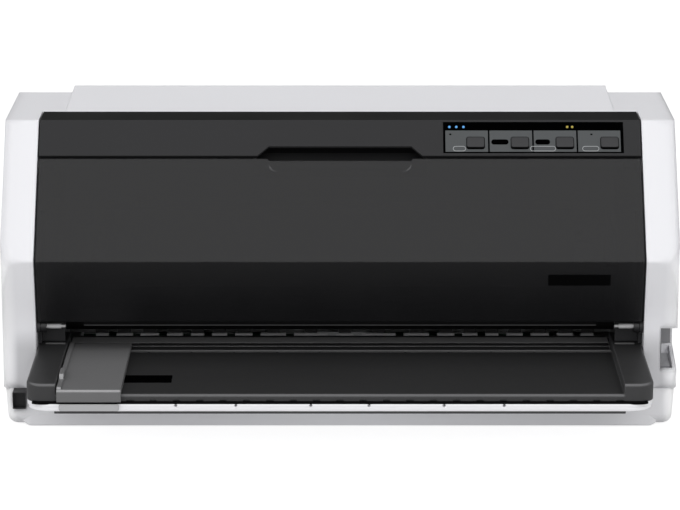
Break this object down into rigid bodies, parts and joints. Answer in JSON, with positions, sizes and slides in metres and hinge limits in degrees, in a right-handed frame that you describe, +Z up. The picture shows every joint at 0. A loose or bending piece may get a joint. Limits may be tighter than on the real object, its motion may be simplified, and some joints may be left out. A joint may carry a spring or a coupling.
{
  "type": "dot matrix printer",
  "caption": "Desktop flatbed impact printer with a smoked hinged front cover, front paper tray with a sliding edge guide, and push tractors at the rear.",
  "frame": {"origin": "centre of the box's underside, on the surface the printer stands on", "axes": "+X to the printer's right seen from the front, +Y to the back, +Z up"},
  "size_m": [0.48, 0.37, 0.213],
  "materials": {
    "white_case": "fine moulded texture",
    "grey_white_base": "fine moulded texture",
    "rubber_black": "matte",
    "bar_black": "satin",
    "tray_black": "fine grain",
    "smoked_cover": "smoked, see-through",
    "label_black": "bare",
    "tile_grey": "printed film",
    "button_grey": "satin",
    "lamp_blue": "lit lens",
    "lamp_amber": "lit lens",
    "guide_grey": "fine grain",
    "pin_grey": "smooth",
    "rocker_grey": "satin",
    "steel": "zinc plated",
    "carriage_black": "satin",
    "head_alloy": "cast",
    "rear_grey": "fine grain",
    "board_green": "solder mask"
  },
  "bodies": {
    "root": {"upper_case": "white_case", "tray_shell": "white_case", "lower_case": "grey_white_base", "rubber_feet": "rubber_black", "carriage_belt": "rubber_black", "feed_belt": "rubber_black", "top_bar": "bar_black", "inner_cheeks": "bar_black", "grip_pocket": "bar_black", "front_tray": "tray_black", "front_lower_guide": "tray_black", "front_upper_guide": "tray_black", "rear_lower_guide": "tray_black", "panel_overlay": "label_black", "panel_tiles": "tile_grey", "ready_lamps": "lamp_blue", "paper_lamps": "lamp_amber", "hinge_pins": "pin_grey", "power_switch": "rocker_grey", "chassis": "steel", "left_side_frame": "steel", "right_side_frame": "steel", "rear_beam": "steel", "platen_bar": "steel", "guide_shaft": "steel", "tractor_rod": "steel", "screws": "steel", "carriage_motor": "steel", "feed_motor": "steel", "ribbon_cartridge": "carriage_black", "power_inlet": "carriage_black", "interface_ports": "carriage_black", "main_board": "board_green", "power_supply": "board_green", "control_board": "board_green"},
    "front_cover": {"cover_window": "smoked_cover", "cover_arms": "smoked_cover", "cover_label": "label_black"},
    "edge_guide": {"edge_guide": "guide_grey"},
    "tear_off_button": {"tear_off_button": "button_grey"},
    "line_feed_button": {"line_feed_button": "button_grey"},
    "load_eject_button": {"load_eject_button": "button_grey"},
    "pause_button": {"pause_button": "button_grey"},
    "power_rocker": {"power_rocker": "rocker_grey"},
    "carriage": {"carriage": "carriage_black", "print_head": "head_alloy"},
    "motor_pulley": {"motor_pulley": "steel"},
    "idler_pulley": {"idler_pulley": "steel"},
    "ribbon_knob": {"ribbon_knob": "carriage_black"},
    "feed_pulley": {"feed_pulley": "steel"},
    "front_feed_roller": {"front_feed_roller": "rubber_black"},
    "rear_feed_roller": {"rear_feed_roller": "rubber_black"},
    "front_pinch_rollers": {"front_pinch_rollers": "rubber_black"},
    "rear_pinch_rollers": {"rear_pinch_rollers": "rubber_black"},
    "tractor_shaft": {"tractor_shaft": "steel"},
    "right_tractor": {"right_tractor": "carriage_black"},
    "left_tractor": {"left_tractor": "carriage_black"},
    "right_tractor_lid": {"right_tractor_lid": "carriage_black"},
    "left_tractor_lid": {"left_tractor_lid": "carriage_black"},
    "rear_cover": {"rear_cover": "rear_grey"}
  },
  "joints": [
    {"name": "front_cover_hinge", "type": "hinge", "parent": "root", "child": "front_cover", "pos_m": [0, -0.087, 0.068], "axis": [1, 0, 0], "range_deg": [0, 80]},
    {"name": "edge_guide_slide", "type": "slide", "parent": "root", "child": "edge_guide", "axis": [1, 0, 0], "range_m": [0, 0.12]},
    {"name": "tear_off_press", "type": "slide", "parent": "root", "child": "tear_off_button", "axis": [0, 0.8031, -0.5959], "range_m": [0, 0.0012], "stiffness_N_per_m": 400},
    {"name": "line_feed_press", "type": "slide", "parent": "root", "child": "line_feed_button", "axis": [0, 0.8031, -0.5959], "range_m": [0, 0.0012], "stiffness_N_per_m": 400},
    {"name": "load_eject_press", "type": "slide", "parent": "root", "child": "load_eject_button", "axis": [0, 0.8031, -0.5959], "range_m": [0, 0.0012], "stiffness_N_per_m": 400},
    {"name": "pause_press", "type": "slide", "parent": "root", "child": "pause_button", "axis": [0, 0.8031, -0.5959], "range_m": [0, 0.0012], "stiffness_N_per_m": 400},
    {"name": "power_rocker_tilt", "type": "hinge", "parent": "root", "child": "power_rocker", "pos_m": [0.2327, -0.07466, 0.0368], "axis": [1, 0, 0], "range_deg": [0, 14]},
    {"name": "carriage_slide", "type": "slide", "parent": "root", "child": "carriage", "axis": [1, 0, 0], "range_m": [-0.13, 0.13]},
    {"name": "motor_pulley_spin", "type": "hinge", "parent": "root", "child": "motor_pulley", "pos_m": [-0.172, 0.05, 0.1], "axis": [0, 0, 1], "range_deg": [-800, 800]},
    {"name": "idler_pulley_spin", "type": "hinge", "parent": "root", "child": "idler_pulley", "pos_m": [0.172, 0.05, 0.1], "axis": [0, 0, 1], "range_deg": [-800, 800]},
    {"name": "ribbon_knob_turn", "type": "hinge", "parent": "root", "child": "ribbon_knob", "pos_m": [-0.14, -0.05, 0.15], "axis": [0, 0, 1], "continuous": true},
    {"name": "front_feed_spin", "type": "hinge", "parent": "root", "child": "front_feed_roller", "pos_m": [0, -0.029, 0.0382], "axis": [1, 0, 0], "continuous": true},
    {"name": "rear_feed_spin", "type": "hinge", "parent": "root", "child": "rear_feed_roller", "pos_m": [0, 0.05, 0.0382], "axis": [1, 0, 0], "continuous": true},
    {"name": "tractor_shaft_spin", "type": "hinge", "parent": "root", "child": "tractor_shaft", "pos_m": [0, 0.12, 0.0382], "axis": [1, 0, 0], "continuous": true},
    {"name": "feed_pulley_spin", "type": "hinge", "parent": "root", "child": "feed_pulley", "pos_m": [0.205, 0.012, 0.027], "axis": [1, 0, 0], "continuous": true},
    {"name": "front_pinch_spin", "type": "hinge", "parent": "root", "child": "front_pinch_rollers", "pos_m": [0, -0.029, 0.0512], "axis": [1, 0, 0], "continuous": true},
    {"name": "rear_pinch_spin", "type": "hinge", "parent": "root", "child": "rear_pinch_rollers", "pos_m": [0, 0.05, 0.0512], "axis": [1, 0, 0], "continuous": true},
    {"name": "right_tractor_slide", "type": "slide", "parent": "root", "child": "right_tractor", "axis": [1, 0, 0], "range_m": [-0.06, 0]},
    {"name": "left_tractor_slide", "type": "slide", "parent": "root", "child": "left_tractor", "axis": [1, 0, 0], "range_m": [0, 0.06]},
    {"name": "right_tractor_lid_hinge", "type": "hinge", "parent": "right_tractor", "child": "right_tractor_lid", "pos_m": [0.1822, 0.13, 0.0504], "axis": [0, 1, 0], "range_deg": [0, 100]},
    {"name": "left_tractor_lid_hinge", "type": "hinge", "parent": "left_tractor", "child": "left_tractor_lid", "pos_m": [-0.1822, 0.13, 0.0504], "axis": [0, -1, 0], "range_deg": [0, 100]},
    {"name": "rear_cover_hinge", "type": "hinge", "parent": "root", "child": "rear_cover", "pos_m": [0, 0.0753, 0.19947], "axis": [1, 0, 0], "range_deg": [0, 75]}
  ],
  "couplings": [
    {"joint": "motor_pulley_spin", "follows": "carriage_slide", "rad_per_m": 100},
    {"joint": "idler_pulley_spin", "follows": "carriage_slide", "rad_per_m": 100},
    {"joint": "rear_feed_spin", "follows": "front_feed_spin", "ratio": 1},
    {"joint": "tractor_shaft_spin", "follows": "front_feed_spin", "ratio": 1},
    {"joint": "feed_pulley_spin", "follows": "front_feed_spin", "ratio": 1.5},
    {"joint": "front_pinch_spin", "follows": "front_feed_spin", "ratio": -1.7391},
    {"joint": "rear_pinch_spin", "follows": "front_feed_spin", "ratio": -1.7391}
  ]
}
